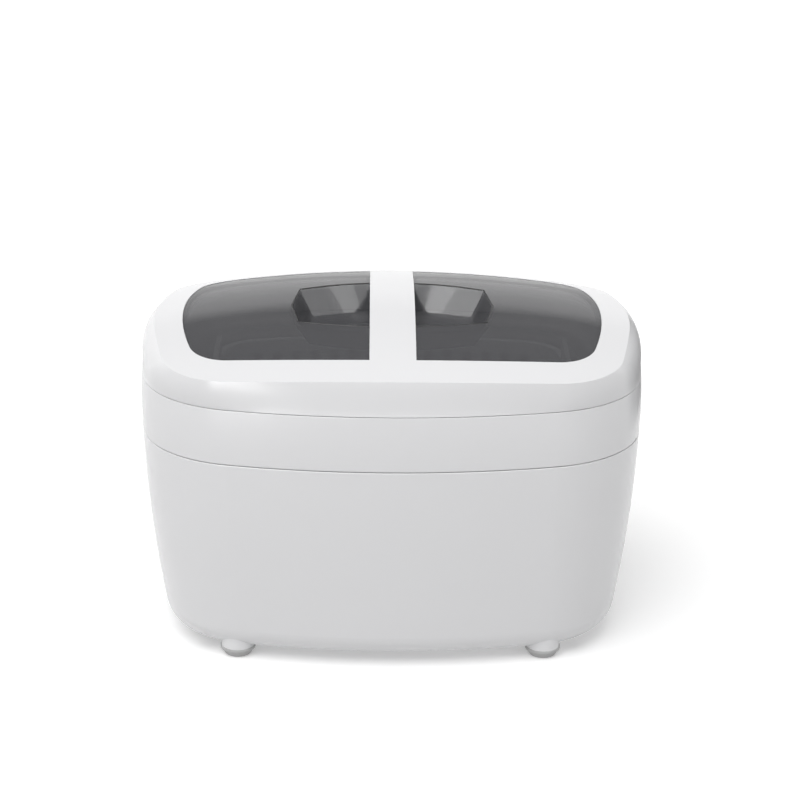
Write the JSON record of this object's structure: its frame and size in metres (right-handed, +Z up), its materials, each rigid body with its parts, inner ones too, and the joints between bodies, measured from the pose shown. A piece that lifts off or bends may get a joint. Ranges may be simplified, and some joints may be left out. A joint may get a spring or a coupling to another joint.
{
  "type": "ultrasonic cleaner",
  "caption": "Free-standing ultrasonic cleaner: bowed white case, steel tank with lift-out basket, domed lift-off lid with smoked windows and a finger pocket.",
  "frame": {"origin": "on the surface the cleaner stands on, under the middle of its bounding box", "axes": "+Z up, +X along the long side towards the mains inlet, +Y towards the face with the controls"},
  "size_m": [0.3016, 0.224, 0.1987],
  "materials": {
    "case_white": "white gloss moulded plastic",
    "ring_white": "white matte moulded plastic",
    "smoked_window": "smoked clear acrylic",
    "screw_steel": "plated steel",
    "tank_steel": "pressed stainless steel",
    "silicone": "translucent silicone",
    "basket_plastic": "light grey moulded plastic",
    "foot_rubber": "light grey rubber",
    "heater_ceramic": "silicone heating pad",
    "black_plastic": "black moulded plastic",
    "sensor_brass": "brass",
    "board_green": "green laminate board",
    "capacitor_sleeve": "dark blue sleeve",
    "ferrite": "dark ferrite",
    "copper_wire": "enamelled copper wire",
    "relay_blue": "blue moulded plastic",
    "heatsink_aluminium": "extruded aluminium",
    "fuse_glass": "clear glass tube",
    "connector_white": "off-white moulded plastic",
    "mass_aluminium": "turned aluminium",
    "mass_steel": "turned steel",
    "piezo_ceramic": "silvered piezo ceramic",
    "panel_grey": "dark grey moulded plastic",
    "display_lens": "dark clear acrylic",
    "button_white": "white moulded plastic"
  },
  "bodies": {
    "base": {"lower_housing": "case_white", "upper_housing": "case_white", "tank": "tank_steel", "tank_gasket": "silicone", "foot_front_left": "foot_rubber", "foot_front_right": "foot_rubber", "foot_back_left": "foot_rubber", "foot_back_right": "foot_rubber", "housing_screws": "screw_steel", "heater_front": "heater_ceramic", "heater_back": "heater_ceramic", "thermal_cutout": "black_plastic", "temperature_sensor": "sensor_brass", "main_board": "board_green", "board_screws": "screw_steel", "mains_capacitor": "capacitor_sleeve", "transformer_core": "ferrite", "transformer_winding": "copper_wire", "output_coil": "copper_wire", "relay": "relay_blue", "heatsink": "heatsink_aluminium", "power_transistors": "black_plastic", "fuse_glass": "fuse_glass", "fuse_clips": "sensor_brass", "board_connectors": "connector_white", "fan_frame": "black_plastic", "fan_screws": "screw_steel", "mains_inlet": "black_plastic", "inlet_pins": "sensor_brass", "control_panel": "panel_grey", "display_lens": "display_lens", "display_module": "black_plastic", "control_board": "board_green", "control_screws": "screw_steel", "button_switches": "black_plastic", "transducer_left_front_mass": "mass_aluminium", "transducer_left_piezo_rings": "piezo_ceramic", "transducer_left_electrodes": "sensor_brass", "transducer_left_back_mass": "mass_steel", "transducer_left_bolt": "screw_steel", "transducer_right_front_mass": "mass_aluminium", "transducer_right_piezo_rings": "piezo_ceramic", "transducer_right_electrodes": "sensor_brass", "transducer_right_back_mass": "mass_steel", "transducer_right_bolt": "screw_steel"},
    "lid": {"lid_frame": "case_white", "lid_window": "smoked_window", "lid_inner_ring": "ring_white", "lid_screws": "screw_steel"},
    "basket": {"basket": "basket_plastic"},
    "fan_rotor": {"fan_rotor": "black_plastic"},
    "timer_button": {"timer_button": "button_white"},
    "power_button": {"power_button": "button_white"},
    "heater_button": {"heater_button": "button_white"}
  },
  "joints": [
    {"name": "lid_lift", "type": "slide", "parent": "base", "child": "lid", "axis": [0, 0, 1], "range_m": [0, 0.2]},
    {"name": "basket_lift", "type": "slide", "parent": "base", "child": "basket", "axis": [0, 0, 1], "range_m": [0, 0.1]},
    {"name": "fan_spin", "type": "hinge", "parent": "base", "child": "fan_rotor", "pos_m": [0, 0, 0.017], "axis": [0, 0, 1], "continuous": true},
    {"name": "timer_button_press", "type": "slide", "parent": "base", "child": "timer_button", "axis": [0, 1, 0], "range_m": [-0.0008, 0], "stiffness_N_per_m": 1500},
    {"name": "power_button_press", "type": "slide", "parent": "base", "child": "power_button", "axis": [0, 1, 0], "range_m": [-0.0008, 0], "stiffness_N_per_m": 1500},
    {"name": "heater_button_press", "type": "slide", "parent": "base", "child": "heater_button", "axis": [0, 1, 0], "range_m": [-0.0008, 0], "stiffness_N_per_m": 1500}
  ],
  "couplings": [
    {"joint": "basket_lift", "follows": "lid_lift", "ratio": 0.5}
  ]
}
